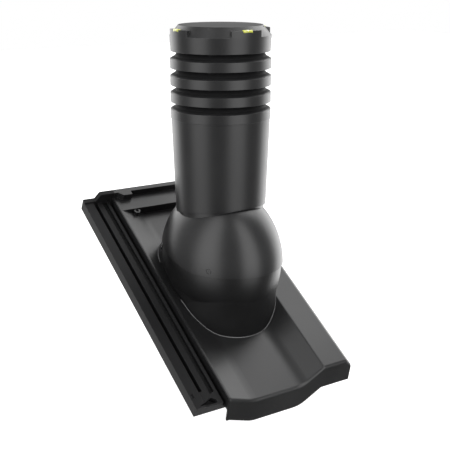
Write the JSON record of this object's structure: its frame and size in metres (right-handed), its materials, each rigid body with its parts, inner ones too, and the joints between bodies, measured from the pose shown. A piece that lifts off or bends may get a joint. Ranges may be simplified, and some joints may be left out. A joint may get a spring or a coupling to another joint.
{
  "type": "roof tile vent",
  "caption": "Interlocking plastic roof tile with a tilting hood, a tapered vent tube, a stack of louvre rings and a cap with spirit levels; it leads duct air out through a pitched roof.",
  "frame": {"origin": "on the axis of the duct pipe, at the level where that axis meets the plane of the tile's pan", "axes": "+Z plumb, up the tube; +Y horizontal, towards the top of the roof; +X across the roof, to the right when looking up it"},
  "size_m": [0.297, 0.4368, 0.6099],
  "materials": {
    "tile": "satin",
    "hood": "satin",
    "tube": "satin",
    "pipe": "matte",
    "rings": "satin",
    "cap": "satin",
    "vial": "clear tinted",
    "pins": "satin"
  },
  "bodies": {
    "tile": {"base_tile": "tile", "dome_collar": "hood", "pivot_pin_left": "pins", "pivot_pin_right": "pins"},
    "stack": {"tilt_hood": "hood", "vent_tube": "tube", "duct_pipe": "pipe", "base_ring": "rings", "louvre_ring_lower": "rings", "louvre_ring_middle": "rings", "louvre_ring_upper": "rings", "vent_cap": "cap", "level_vial_front": "vial", "level_vial_back": "vial", "level_vial_left": "vial", "level_vial_right": "vial"}
  },
  "joints": [
    {"name": "hood_tilt", "type": "hinge", "parent": "tile", "child": "stack", "pos_m": [0, 0, 0.0615], "axis": [1, 0, 0], "range_deg": [-14, 12]}
  ]
}
